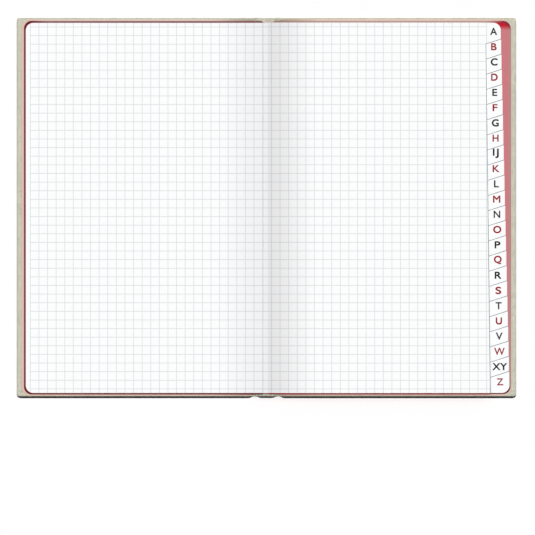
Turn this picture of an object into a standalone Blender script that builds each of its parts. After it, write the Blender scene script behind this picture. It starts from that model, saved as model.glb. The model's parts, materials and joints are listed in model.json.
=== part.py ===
"""A to Z index notebook in a cloth-covered case, lying open at its first index page.

The case is two boards and a spine strip in one cloth, with a groove beside the spine on each side. The
text block is held at its back: three gatherings of plain leaves, then one section of leaves for each
index tab. Every section is cut back below its own tab, so the tabs of all later sections show beside it.

Closing the book turns the case spine, the front cover, the back of the text block and the leaves together.
Each of them hangs on its own axis along the spine. The axes of the sections are set so that the sections,
which lie fanned out while the book is open, slide back into a square block as it closes.

Metres, +Z up. +X runs to the fore-edge of the right-hand page, +Y to the head, and the book lies on z = 0.
"""

import math

import bmesh
import bpy
from mathutils import Vector

MM = 0.001

# Case, measured over the cloth of the open book
OPEN_WIDTH = 290.1 * MM
COVER_HEIGHT = 220.0 * MM
CLOTH = 0.35 * MM
BOARD = 1.5 * MM
PLAY = 0.05 * MM
COVER_THICKNESS = 2 * (CLOTH + PLAY) + BOARD
COVER_EDGE_RADIUS = 0.5 * MM
BOARD_EDGE_RADIUS = 0.2 * MM
TURN_IN = 15.0 * MM

# Spine and grooves: the case hinges lie level with the inner faces of the covers
HINGE_HALF_WIDTH = 3.8 * MM
GROOVE = 5.0 * MM
GROOVE_CLOTH_START = 0.25 * MM
GROOVE_CLOTH_DROP = 0.02 * MM
GROOVE_CLOTH_LAP = 0.2 * MM
BOARD_LIP = 0.7 * MM
SPINE_OVERHANG = 1.3 * MM
SPINE_CARD = 0.7 * MM
SPINE_TURN_IN = 0.25 * MM
SPINE_EDGE_RADIUS = 0.8 * MM
SPINE_THICKNESS = CLOTH + SPINE_CARD + SPINE_TURN_IN + 2 * PLAY

# Paper
PAGE_WIDTH = 138.0 * MM
PAGE_HEIGHT = 215.0 * MM
PAGE_CORNER = 4.5 * MM
PAGE_DROP = 0.5 * MM
LEAF = 0.095 * MM
ENDPAPER = 0.1 * MM
LEAF_GAP = 0.03 * MM
PASTEDOWN_MARGIN = 2.6 * MM
PASTEDOWN_END_MARGIN = 0.8 * MM
PASTEDOWN_START = 1.0 * MM
FLYLEAF_EXTRA = 0.6 * MM

# Text block: its back turns on an axis a little outside the hinge of the case
LEAVES_PER_SECTION = 2
LEAVES_PER_GATHERING = 4
GATHERINGS = 3
BLOCK_SETBACK = 0.4 * MM
BACK_DEPTH = 1.0 * MM
FOLD_DEPTH = 0.08 * MM
BINDING_CLEARANCE = 1.5 * MM
MULL = 0.18 * MM
MULL_MARGIN = 0.3 * MM
MULL_HEIGHT = 200.0 * MM

# Index: the tabs stand in a column at the fore-edge, between slanting cuts
TABS = ("A", "B", "C", "D", "E", "F", "G", "H", "IJ", "K", "L", "M", "N", "O", "P", "Q", "R", "S", "T", "U",
        "V", "W", "XY", "Z")
TAB_PITCH = 8.81 * MM
FIRST_CUT_Y = 95.1 * MM
FIRST_CUT_X = 127.65 * MM
COLUMN_DRIFT = 2.45 / 194.4
CUT_SLOPE = 0.32

# Facets in a quarter turn of a rounded page corner, and along the fold of one section
CORNER_STEPS = 6
FOLD_STEPS = 4

# Levels and axes that follow from the sizes above
HALF_WIDTH = OPEN_WIDTH / 2
SECTION_PITCH = LEAVES_PER_SECTION * LEAF + LEAF_GAP
GATHERING_PITCH = LEAVES_PER_GATHERING * LEAF + LEAF_GAP
INDEX_THICKNESS = len(TABS) * SECTION_PITCH
BLOCK_THICKNESS = INDEX_THICKNESS + GATHERINGS * GATHERING_PITCH
PASTEDOWN_LEVEL = COVER_THICKNESS + LEAF_GAP
BACK_FLYLEAF_LEVEL = PASTEDOWN_LEVEL + ENDPAPER + LEAF_GAP
BLOCK_LEVEL = BACK_FLYLEAF_LEVEL + ENDPAPER + LEAF_GAP
BLOCK_X = HINGE_HALF_WIDTH - BLOCK_SETBACK

CLOTH_COLOUR = (0.56, 0.56, 0.44)
BOARD_COLOUR = (0.30, 0.28, 0.25)
PAPER_COLOUR = (0.92, 0.92, 0.91)
ENDPAPER_COLOUR = (0.86, 0.85, 0.82)
GLUE_COLOUR = (0.80, 0.79, 0.74)
MULL_COLOUR = (0.72, 0.70, 0.64)


def clear_scene():
    """Remove the objects and collections of the scene that the script starts in."""
    for thing in list(bpy.data.objects):
        bpy.data.objects.remove(thing, do_unlink=True)
    for group in list(bpy.data.collections):
        bpy.data.collections.remove(group)


def new_collection(name):
    """A collection of this name under the scene."""
    group = bpy.data.collections.new(name)
    bpy.context.scene.collection.children.link(group)
    return group


def material(name, colour, roughness):
    """A plain Principled material."""
    made = bpy.data.materials.new(name)
    made.use_nodes = True
    shader = made.node_tree.nodes["Principled BSDF"]
    shader.inputs["Base Color"].default_value = (*colour, 1.0)
    shader.inputs["Roughness"].default_value = roughness
    shader.inputs["Metallic"].default_value = 0.0
    return made


def hang(thing, pivot):
    """Parent a piece to the empty on its axis, leaving it where it is."""
    thing.parent = pivot
    thing.matrix_parent_inverse = pivot.matrix_world.inverted()
    return thing


def pivot_at(name, group, x, z, carrier=None):
    """An empty on an axis along the spine, carried by another empty where there is one."""
    pivot = bpy.data.objects.new(name, None)
    pivot.empty_display_size = 5.0 * MM
    pivot.location = (x, 0.0, z)
    group.objects.link(pivot)
    bpy.context.view_layer.update()
    if carrier:
        hang(pivot, carrier)
        bpy.context.view_layer.update()
    return pivot


def box(name, group, low, high, finish=None, radius=0.0, rounds=None):
    """A box between two corners, with the edges that rounds picks bevelled to a radius."""
    low, high = Vector(low), Vector(high)
    middle = (low + high) / 2
    cube = bmesh.new()
    bmesh.ops.create_cube(cube, size=1.0)
    bmesh.ops.scale(cube, vec=high - low, verts=cube.verts)
    if radius:
        edges = [edge for edge in cube.edges if rounds is None or rounds(edge)]
        bmesh.ops.bevel(cube, geom=edges, offset=radius, segments=3, profile=0.5, affect="EDGES")
    mesh = bpy.data.meshes.new(name)
    cube.to_mesh(mesh)
    cube.free()
    thing = bpy.data.objects.new(name, mesh)
    thing.location = middle
    group.objects.link(thing)
    if finish:
        mesh.materials.append(finish)
    return thing


def combine(thing, other, operation):
    """Cut another solid out of this one, or join it on, and keep the other as a hidden guide."""
    step = thing.modifiers.new(other.name, "BOOLEAN")
    step.operation = operation
    step.solver = "EXACT"
    step.object = other
    other.hide_render = True
    other.display_type = "WIRE"


def flat_sheet(name, group, outline, level, thickness, finish, drop=0.0):
    """A sheet with this outline in plan, lowered towards the tail, from a level to its thickness above it."""
    curve = bpy.data.curves.new(name, "CURVE")
    curve.dimensions = "2D"
    curve.fill_mode = "BOTH"
    curve.extrude = thickness / 2
    spline = curve.splines.new("POLY")
    spline.points.add(len(outline) - 1)
    for point, (x, y) in zip(spline.points, outline):
        point.co = (x, y, 0.0, 1.0)
    spline.use_cyclic_u = True
    curve.materials.append(finish)
    thing = bpy.data.objects.new(name, curve)
    thing.location = (0.0, -drop, level + thickness / 2)
    group.objects.link(thing)
    return thing


def corner(x, y, start, radius=PAGE_CORNER):
    """Points of a quarter round about (x, y), counter-clockwise from an angle in degrees."""
    turns = [math.radians(start + 90.0 * step / CORNER_STEPS) for step in range(CORNER_STEPS + 1)]
    return [(x + radius * math.cos(turn), y + radius * math.sin(turn)) for turn in turns]


def page_outline(binding_x, fore_x):
    """Outline of a whole leaf with both fore-edge corners rounded, counter-clockwise."""
    top = PAGE_HEIGHT / 2
    inner = top - PAGE_CORNER
    if fore_x > binding_x:
        round_x = fore_x - PAGE_CORNER
        rounds = corner(round_x, -inner, -90.0) + corner(round_x, inner, 0.0)
        return [(binding_x, -top)] + rounds + [(binding_x, top)]
    round_x = fore_x + PAGE_CORNER
    rounds = corner(round_x, inner, 90.0) + corner(round_x, -inner, 180.0)
    return [(binding_x, top)] + rounds + [(binding_x, -top)]


def column_x(y):
    """The index column's inner edge at a height on the page: it drifts outward towards the tail."""
    return FIRST_CUT_X + (FIRST_CUT_Y - y) * COLUMN_DRIFT


def section_outline(index, binding_x, fore_x):
    """Outline of a section that keeps its own tab and those above, cut back below along the column."""
    if index == len(TABS) - 1:
        return page_outline(binding_x, fore_x)
    top = PAGE_HEIGHT / 2
    cut_y = FIRST_CUT_Y - index * TAB_PITCH
    inner_x = column_x(cut_y)
    outer_y = cut_y + CUT_SLOPE * (fore_x - inner_x)
    cut = [(column_x(-top), -top), (inner_x, cut_y), (fore_x, outer_y)]
    rounded = corner(fore_x - PAGE_CORNER, top - PAGE_CORNER, 0.0)
    return [(binding_x, -top)] + cut + rounded + [(binding_x, top)]


def cloth_wrap(name, group, cutters, outer, card, window, finish, rounds, radius):
    """Cloth round a card: a box with a pocket for the card, open inside between the turned-in edges."""
    wrap = box(name, group, *outer, finish, radius, rounds)
    play = Vector((PLAY, PLAY, PLAY))
    pocket = box(name + "_pocket", cutters, Vector(card[0]) - play, Vector(card[1]) + play)
    opening = box(name + "_opening", cutters, *window)
    combine(wrap, pocket, "DIFFERENCE")
    combine(wrap, opening, "DIFFERENCE")
    return wrap


def cover(side, name, group, cutters, finishes):
    """Board, cloth and pastedown of one cover: side is 1 on the right and -1 on the left."""

    def across(inner, outer):
        """The two x values of a stretch from the spine outward, in rising order."""
        return sorted((side * inner, side * outer))

    half_height = COVER_HEIGHT / 2
    skin = CLOTH + PLAY
    board_start = HINGE_HALF_WIDTH + GROOVE
    board_x = across(board_start, HALF_WIDTH - skin)
    board_low = (board_x[0], -half_height + skin, skin)
    board_high = (board_x[1], half_height - skin, skin + BOARD)
    board = box(name + "_board", group, board_low, board_high, finishes["board"], BOARD_EDGE_RADIUS)

    wrap_x = across(board_start - skin, HALF_WIDTH)
    outer = ((wrap_x[0], -half_height, 0.0), (wrap_x[1], half_height, COVER_THICKNESS))
    window_x = across(board_start + BOARD_LIP, HALF_WIDTH - TURN_IN)
    window_y = half_height - TURN_IN
    window = ((window_x[0], -window_y, skin + BOARD / 2), (window_x[1], window_y, 2 * COVER_THICKNESS))

    def away_from_spine(edge):
        """True for every edge of the cloth but the four on the side of the groove."""
        return any(side * vert.co.x > 0.0 for vert in edge.verts)

    cloth = cloth_wrap(name + "_cover_cloth", group, cutters, outer, (board_low, board_high), window,
                       finishes["cloth"], away_from_spine, COVER_EDGE_RADIUS)
    groove_x = across(HINGE_HALF_WIDTH + GROOVE_CLOTH_START, board_start - skin + GROOVE_CLOTH_LAP)
    groove_top = COVER_THICKNESS - GROOVE_CLOTH_DROP
    groove = box(name + "_groove", cutters, (groove_x[0], -half_height, groove_top - CLOTH),
                 (groove_x[1], half_height, groove_top))
    combine(cloth, groove, "UNION")

    paste_x = across(HINGE_HALF_WIDTH + PASTEDOWN_START, HALF_WIDTH - PASTEDOWN_MARGIN)
    paste_y = half_height - PASTEDOWN_END_MARGIN
    outline = [(paste_x[0], -paste_y), (paste_x[1], -paste_y), (paste_x[1], paste_y), (paste_x[0], paste_y)]
    pastedown = flat_sheet(name + "_pastedown", group, outline, PASTEDOWN_LEVEL, ENDPAPER,
                           finishes["endpaper"])
    return board, cloth, pastedown


def case_spine(group, cutters, finishes):
    """The spine strip and its cloth, which reach a little past the hinges on both sides."""
    half_height = COVER_HEIGHT / 2
    skin = CLOTH + PLAY
    half_width = HINGE_HALF_WIDTH + SPINE_OVERHANG
    card_low = (-half_width + skin, -half_height + skin, skin)
    card_high = (half_width - skin, half_height - skin, skin + SPINE_CARD)
    strip = box("spine_strip", group, card_low, card_high, finishes["board"], BOARD_EDGE_RADIUS)

    outer = ((-half_width, -half_height, 0.0), (half_width, half_height, SPINE_THICKNESS))
    window_x = half_width - 2 * skin
    window_y = half_height - TURN_IN
    window = ((-window_x, -window_y, skin + SPINE_CARD / 2), (window_x, window_y, 2 * SPINE_THICKNESS))

    def outer_long_edges(edge):
        """True for the two edges along the back of the spine."""
        return all(vert.co.z < 0.0 for vert in edge.verts) and edge.verts[0].co.x * edge.verts[1].co.x > 0.0

    cloth = cloth_wrap("spine_cloth", group, cutters, outer, (card_low, card_high), window,
                       finishes["cloth"], outer_long_edges, SPINE_EDGE_RADIUS)
    return strip, cloth


def fold_ridges():
    """Points along the back of the block, from its last section to its first: one round fold for each."""
    pitches = [SECTION_PITCH] * len(TABS) + [GATHERING_PITCH] * GATHERINGS
    points = [(0.0, 0.0)]
    start = 0.0
    for pitch in pitches:
        for step in range(1, FOLD_STEPS + 1):
            share = step / FOLD_STEPS
            points.append((-start - share * pitch, -FOLD_DEPTH * math.sin(math.pi * share)))
        start += pitch
    return points


def section_backs(group, finish):
    """The glued folds of all the sections: one body, ridged along its outer face."""
    ridges = [(BLOCK_X + x, y) for x, y in fold_ridges()]
    outline = ridges + [(BLOCK_X - BLOCK_THICKNESS, BACK_DEPTH), (BLOCK_X, BACK_DEPTH)]
    backs = flat_sheet("section_backs", group, outline, 0.0, PAGE_HEIGHT, finish)
    backs.rotation_euler = (math.pi / 2, 0.0, 0.0)
    backs.location = (0.0, -PAGE_DROP, BLOCK_LEVEL)
    return backs


def spine_mull(group, finish):
    """The lining strip over the folds, a little narrower and shorter than the back of the block."""
    top = BLOCK_LEVEL - FOLD_DEPTH - LEAF_GAP
    low = (BLOCK_X - BLOCK_THICKNESS + MULL_MARGIN, -MULL_HEIGHT / 2 - PAGE_DROP, top - MULL)
    high = (BLOCK_X - MULL_MARGIN, MULL_HEIGHT / 2 - PAGE_DROP, top)
    return box("spine_mull", group, low, high, finish)


def index_sections(group, block_pivot, finish):
    """The section behind each tab: the deeper it lies in the block, the further out it lies when open."""
    for index, tab in enumerate(TABS):
        depth = (len(TABS) - 1 - index) * SECTION_PITCH + LEAF_GAP
        edge_x = BLOCK_X - depth
        outline = section_outline(index, edge_x + BINDING_CLEARANCE, edge_x + PAGE_WIDTH)
        leaves = flat_sheet("leaves_" + tab, group, outline, BLOCK_LEVEL + depth,
                            LEAVES_PER_SECTION * LEAF, finish, PAGE_DROP)
        pivot = pivot_at("axis_" + tab, group, BLOCK_X - depth / 2, BLOCK_LEVEL + depth / 2, block_pivot)
        hang(leaves, pivot)


def turned_leaves(name, group, block_pivot, finish, thickness, open_height, closed_height):
    """Leaves that lie on the left while the book is open, and turn right over onto the block."""
    edge_x = BLOCK_X - closed_height
    outline = page_outline(edge_x - BINDING_CLEARANCE, edge_x - PAGE_WIDTH)
    leaves = flat_sheet(name, group, outline, BLOCK_LEVEL + open_height, thickness, finish, PAGE_DROP)
    rise = (open_height + thickness) / 2
    pivot = pivot_at("axis_" + name, group, edge_x - rise, BLOCK_LEVEL + rise, block_pivot)
    hang(leaves, pivot)


def front_matter(group, block_pivot, finishes):
    """The front flyleaf, and the gatherings that follow it, each above the last while the book is open."""
    closed_top = INDEX_THICKNESS + LEAF_GAP + GATHERINGS * GATHERING_PITCH
    turned_leaves("front_flyleaf", group, block_pivot, finishes["endpaper"], ENDPAPER, 0.0, closed_top)
    for number in range(1, GATHERINGS + 1):
        open_height = ENDPAPER + LEAF_GAP + (number - 1) * GATHERING_PITCH
        closed_height = closed_top - number * GATHERING_PITCH
        turned_leaves("front_leaves_" + str(number), group, block_pivot, finishes["paper"],
                      LEAVES_PER_GATHERING * LEAF, open_height, closed_height)


def main():
    """Build the notebook: the case, the endpapers and the text block, each piece on its own axis."""
    clear_scene()
    group = new_collection("index_notebook")
    cutters = new_collection("cutters")
    finishes = {
        "cloth": material("cover cloth", CLOTH_COLOUR, 0.9),
        "board": material("grey board", BOARD_COLOUR, 0.95),
        "paper": material("page paper", PAPER_COLOUR, 0.8),
        "endpaper": material("endpaper", ENDPAPER_COLOUR, 0.85),
        "glue": material("glued folds", GLUE_COLOUR, 0.7),
        "mull": material("lining gauze", MULL_COLOUR, 0.95),
    }

    cover(1, "back", group, cutters, finishes)
    flyleaf_outline = page_outline(BLOCK_X + BINDING_CLEARANCE, BLOCK_X + PAGE_WIDTH + FLYLEAF_EXTRA)
    flat_sheet("back_flyleaf", group, flyleaf_outline, BACK_FLYLEAF_LEVEL, ENDPAPER, finishes["endpaper"],
               PAGE_DROP)

    spine_pivot = pivot_at("axis_case_spine", group, HINGE_HALF_WIDTH, COVER_THICKNESS)
    for piece in case_spine(group, cutters, finishes):
        hang(piece, spine_pivot)
    front_pivot = pivot_at("axis_front_cover", group, -HINGE_HALF_WIDTH, COVER_THICKNESS, spine_pivot)
    for piece in cover(-1, "front", group, cutters, finishes):
        hang(piece, front_pivot)

    block_pivot = pivot_at("axis_text_block", group, BLOCK_X, BLOCK_LEVEL)
    hang(section_backs(group, finishes["glue"]), block_pivot)
    hang(spine_mull(group, finishes["mull"]), block_pivot)
    index_sections(group, block_pivot, finishes["paper"])
    front_matter(group, block_pivot, finishes)


main()
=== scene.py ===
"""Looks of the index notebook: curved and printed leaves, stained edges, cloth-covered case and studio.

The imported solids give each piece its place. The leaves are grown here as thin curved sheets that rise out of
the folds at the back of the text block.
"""

import json
import logging
import math
from collections.abc import Callable
from dataclasses import dataclass
from enum import Enum
from functools import partial

import bmesh
import bpy
from bmesh.types import BMesh
from bpy.types import Material, Mesh, Node, NodeSocket, NodeTree, Object
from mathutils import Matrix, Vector


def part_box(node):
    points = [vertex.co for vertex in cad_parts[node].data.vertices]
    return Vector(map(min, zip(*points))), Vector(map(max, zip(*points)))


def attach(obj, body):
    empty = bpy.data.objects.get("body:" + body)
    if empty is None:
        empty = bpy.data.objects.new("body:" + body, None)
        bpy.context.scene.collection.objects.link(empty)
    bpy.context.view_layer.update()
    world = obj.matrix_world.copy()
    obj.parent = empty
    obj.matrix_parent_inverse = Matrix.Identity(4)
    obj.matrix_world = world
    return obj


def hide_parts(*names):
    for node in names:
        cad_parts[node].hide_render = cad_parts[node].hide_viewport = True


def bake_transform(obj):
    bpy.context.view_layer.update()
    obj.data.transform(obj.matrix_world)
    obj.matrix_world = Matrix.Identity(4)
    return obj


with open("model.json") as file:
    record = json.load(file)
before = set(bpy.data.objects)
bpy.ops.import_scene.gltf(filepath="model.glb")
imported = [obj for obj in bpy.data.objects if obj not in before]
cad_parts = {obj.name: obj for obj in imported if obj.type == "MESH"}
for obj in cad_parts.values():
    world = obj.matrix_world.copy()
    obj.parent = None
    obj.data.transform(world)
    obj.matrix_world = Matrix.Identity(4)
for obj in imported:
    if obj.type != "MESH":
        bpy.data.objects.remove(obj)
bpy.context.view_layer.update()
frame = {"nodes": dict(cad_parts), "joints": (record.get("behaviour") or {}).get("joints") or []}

LOG = logging.getLogger("index_notebook")
MM = 0.001
UV_NAME = "UVMap"

# Nodes that are used more than twice
MATH = "ShaderNodeMath"
VECTOR = "ShaderNodeVectorMath"
SPLIT = "ShaderNodeSeparateXYZ"
COMBINE = "ShaderNodeCombineXYZ"
MIX = "ShaderNodeMix"
RANGE = "ShaderNodeMapRange"
NOISE = "ShaderNodeTexNoise"
BUMP = "ShaderNodeBump"
PLACE = "GeometryNodeSetPosition"
JOIN = "GeometryNodeJoinGeometry"
MERGE = "GeometryNodeMergeByDistance"
SET_MATERIAL = "GeometryNodeSetMaterial"

Adder = Callable[..., NodeSocket | None]
Points = list[tuple[float, float]]

# Paper and index, as cut
PAGE_WIDTH = 138.0 * MM
PAGE_HALF_HEIGHT = 107.5 * MM
PAGE_CORNER = 4.5 * MM
PAGE_DROP = 0.5 * MM
PAGE_STRETCH = 1.0016
PAGE_HEAD_Y = PAGE_HALF_HEIGHT * PAGE_STRETCH - PAGE_DROP
PAGE_TAIL_Y = -PAGE_HALF_HEIGHT * PAGE_STRETCH - PAGE_DROP
LEAF = 0.095 * MM
LEAF_STEP = 0.105 * MM
EDGE_REACH = 0.5 * MM
TABS = "A B C D E F G H IJ K L M N O P Q R S T U V W XY Z".split()
TAB_PITCH = 8.81 * MM
FIRST_CUT_Y = 95.1 * MM
FIRST_CUT_X = 127.65 * MM
COLUMN_DRIFT = 2.45 / 194.4
CUT_SLOPE = 0.32
WIDER = {"B": 1.1, "C": 1.05, "E": 1.15, "F": 1.25, "G": 1.05, "IJ": 1.3, "K": 1.15, "L": 1.1, "M": 1.12,
         "O": 1.05, "P": 1.25, "R": 1.2, "S": 1.4, "V": 1.08, "XY": 1.12}
SPACED = {"IJ": 1.16}

# How finely forms are drawn
CORNER_STEPS = 10
RIM_STEPS = 6
RISE_CREASES = (0.02, 0.08, 0.18, 0.32, 0.5, 0.72, 1.0)
RUN_CREASES = 14
SHARP = math.radians(40.0)
WELD = 1e-7
SNAP = 1e-8

# What the values of a noise mostly lie between
NOISE_LOW = 0.3
NOISE_HIGH = 0.7

# The photograph's frame, and where the open book lies in it
IMAGE_PIXELS = 535.0
PIXELS_PER_MM = 1.7195
BOOK_CENTRE_PIXEL = (266.5, 207.1)


class Side(Enum):
    """The side of the gutter that a piece lies on: the sign of its x."""

    LEFT = -1
    RIGHT = 1


class Ruling(Enum):
    """What is printed on a page."""

    FIRST = "squares up to the index column"
    INDEX = "squares that stop short of the tab"
    LEFT = "squares up to a narrow margin"
    PLAIN = "nothing"


def linear(colour: str) -> tuple[float, float, float, float]:
    """Turn an sRGB hex colour, with its hash sign, to linear RGBA."""
    channels = [int(colour[place:place + 2], 16) / 255.0 for place in (1, 3, 5)]
    bright = [c / 12.92 if c <= 0.04045 else ((c + 0.055) / 1.055) ** 2.4 for c in channels]
    return (*bright, 1.0)


def set_inputs(node: Node, inputs: dict | list | tuple) -> None:
    """Link or set a node's inputs.

    Args:
        node: the node.
        inputs: by key or in order, the socket or list of sockets that feed an input, or the value it holds.
    """
    for key, value in inputs.items() if isinstance(inputs, dict) else enumerate(inputs):
        for feed in value if isinstance(value, list) else [value]:
            if isinstance(feed, NodeSocket):
                node.id_data.links.new(feed, node.inputs[key])
            else:
                node.inputs[key].default_value = feed


def add_node(tree: NodeTree, kind: str, inputs: dict | list | tuple = (), operation: str = "", out: str = "",
             **settings: object) -> NodeSocket | None:
    """Add a node with its settings and links.

    Args:
        tree: the tree that takes the node.
        kind: the node's type name.
        inputs: what its inputs are fed with or set to.
        operation: what it works out, if it has a choice.
        out: the name of the output to give, or nothing for the first one in use.
        settings: other attributes of the node itself.

    Returns:
        The output, or None where the node has no output.
    """
    node = tree.nodes.new(kind)
    if operation:
        settings["operation"] = operation
    for name, value in settings.items():
        setattr(node, name, value)
    set_inputs(node, inputs)
    return node.outputs[out] if out else next((socket for socket in node.outputs if socket.enabled), None)


def new_material(name: str) -> tuple[Material, Adder, Node]:
    """Make a material with a bare Principled shader.

    Args:
        name: the real material's name.

    Returns:
        The material, the function that adds nodes to it and its Principled node.
    """
    made = bpy.data.materials.new(name)
    made.use_nodes = True
    return made, partial(add_node, made.node_tree), made.node_tree.nodes["Principled BSDF"]


def new_tree(name: str, inputs: dict[str, tuple[str, ...]]) -> tuple[NodeTree, Adder, dict]:
    """Make a Geometry Nodes tree with named inputs and one geometry as its output.

    Args:
        name: the tree's name.
        inputs: kinds of socket, each with the names of its inputs.

    Returns:
        The tree, the function that adds nodes to it and its inputs by name.
    """
    tree = bpy.data.node_groups.new(name, "GeometryNodeTree")
    tree.interface.new_socket("Geometry", in_out="OUTPUT", socket_type="NodeSocketGeometry")
    for kind, labels in inputs.items():
        for label in labels:
            tree.interface.new_socket(label, in_out="INPUT", socket_type="NodeSocket" + kind)
    add = partial(add_node, tree)
    return tree, add, {socket.name: socket for socket in add("NodeGroupInput").node.outputs}


@dataclass(frozen=True)
class PagePaper:
    """Smooth uncoated writing paper: near white, matt, with a printed grid, stain at its edges and painted
    shade towards the fold.
    """

    name: str
    ruling: Ruling
    paper: str = "#FAFBFB"
    line: str = "#DCDFE2"
    # Painted shade of the gutter: colour stops by share of the reach from the fold, darkest at the fold and
    # fading to the paper's tone
    fold: tuple[tuple[float, str], ...] = ((0.0, "#E8E9EB"), (0.5, "#F3F4F5"))
    stain: str = "#BA102A"
    stain_share: float = 0.8
    end_share: float = 1.0
    head_share: float = 1.0
    square: float = 5.0 * MM
    right_margin: float = 8.34 * MM
    left_margin: float = 2.55 * MM
    tab_clear: float = 4.5 * MM
    line_width: float = 0.26 * MM
    line_fade: float = 0.12 * MM
    soak: float = 0.08 * MM
    soak_fade: float = 0.1 * MM
    corner_turn: float = 0.6 * PAGE_CORNER
    head_fade: float = 2.0 * PAGE_CORNER
    fold_shade_reach: float = 26.0 * MM
    fibre: float = 0.6 * MM
    fibre_tone: float = 0.98

    def build(self) -> Material:
        """Make the material: paper tone with painted shade towards the fold, then the grid, then the stain
        near the edge.
        """
        made, add, shader = new_material(self.name)
        spot = add("ShaderNodeUVMap", uv_map=UV_NAME)
        across, along, _ = add(SPLIT, [spot]).node.outputs
        fibres = add(NOISE, {"Vector": spot, "Scale": 1.0 / self.fibre, "Detail": 4.0, "Roughness": 0.6})
        tone = add(RANGE, [fibres, NOISE_LOW, NOISE_HIGH, self.fibre_tone, 1.0])
        # Painted shade: the paper's colour darkens towards the fold, where the gutter lies in shade
        fold_shade_share = add(MATH, [across, self.fold_shade_reach], "DIVIDE")
        shade = add("ShaderNodeValToRGB", [fold_shade_share])
        stops = shade.node.color_ramp.elements
        stops[1].color = linear(self.paper)
        stops[0].color = linear(self.fold[0][1])
        for share, colour in self.fold[1:]:
            stops.new(share).color = linear(colour)
        colour = add(MIX, {"Factor": 1.0, "A": shade, "B": tone}, data_type="RGBA", blend_type="MULTIPLY")
        if self.ruling is not Ruling.PLAIN:
            inked = self.grid(add, across, along)
            colour = add(MIX, {"Factor": inked, "A": colour, "B": linear(self.line)}, data_type="RGBA",
                         blend_type="MULTIPLY")
        soaked = self.edge_soak(add, spot, along)
        colour = add(MIX, {"Factor": soaked, "A": colour, "B": linear(self.stain)}, data_type="RGBA")
        bump = add(BUMP, {"Height": fibres, "Strength": 0.15, "Distance": 0.02 * MM})
        set_inputs(shader, {
            "Base Color": colour, "Normal": bump, "Roughness": 0.75, "Specular IOR Level": 0.2,
        })
        return made

    def grid(self, add: Adder, across: NodeSocket, along: NodeSocket) -> NodeSocket:
        """Draw the printed squares.

        Args:
            add: the function that adds nodes to the material.
            across: distance from the fold.
            along: distance up the page from its middle.

        Returns:
            1 on a printed line, 0 between lines.
        """
        half = self.square / 2
        margin = self.left_margin if self.ruling is Ruling.LEFT else self.right_margin
        shifted = add(MATH, [across, margin - PAGE_WIDTH], "ADD")
        upright = add(MATH, [shifted, half], "PINGPONG")
        level = add(MATH, [along, half], "PINGPONG")
        nearest = add(MATH, [upright, level], "MINIMUM")
        half_line = self.line_width / 2
        line = add(RANGE, [nearest, half_line, half_line + self.line_fade, 1.0, 0.0],
                   interpolation_type="SMOOTHSTEP")
        limit = self.line_width if self.ruling is Ruling.LEFT else -self.tab_clear
        if self.ruling is Ruling.FIRST:
            furthest = PAGE_HALF_HEIGHT * COLUMN_DRIFT + self.line_width
            limit = add(MATH, [along, -COLUMN_DRIFT, furthest], "MULTIPLY_ADD")
        inside = add(MATH, [shifted, limit], "LESS_THAN")
        return add(MATH, [line, inside], "MULTIPLY")

    def edge_soak(self, add: Adder, spot: NodeSocket, along: NodeSocket) -> NodeSocket:
        """Find how much edge stain has soaked in, from the distance to the page's rounded outline.

        Args:
            add: the function that adds nodes to the material.
            spot: the place on the page.
            along: distance up the page from its middle.

        Returns:
            The stain's share: one along the fore-edge, one at the ends and round the corners, and 0 inside.
        """
        aside = add(VECTOR, [spot], "ABSOLUTE")
        centre = (PAGE_WIDTH - PAGE_CORNER, PAGE_HALF_HEIGHT - PAGE_CORNER, 0.0)
        beyond = add(VECTOR, [aside, centre], "SUBTRACT")
        out_x, out_y, _ = add(SPLIT, [beyond]).node.outputs
        past = add(VECTOR, [beyond, (0.0, 0.0, 0.0)], "MAXIMUM")
        reach = add(VECTOR, [past], "LENGTH")
        soaked = PAGE_CORNER - self.soak
        near = add(RANGE, [reach, soaked - self.soak_fade, soaked, 0.0, 1.0], interpolation_type="SMOOTHSTEP")
        share = add(RANGE, [out_y, 0.0, self.corner_turn, self.stain_share, self.end_share])
        share = add(MATH, [near, share], "MULTIPLY")
        by_corner = add(RANGE, [out_x, -self.head_fade, 0.0, self.head_share, 1.0])
        headward = add(RANGE, [along, 0.0, PAGE_HALF_HEIGHT - PAGE_CORNER, 1.0, by_corner])
        return add(MATH, [share, headward], "MULTIPLY")


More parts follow.
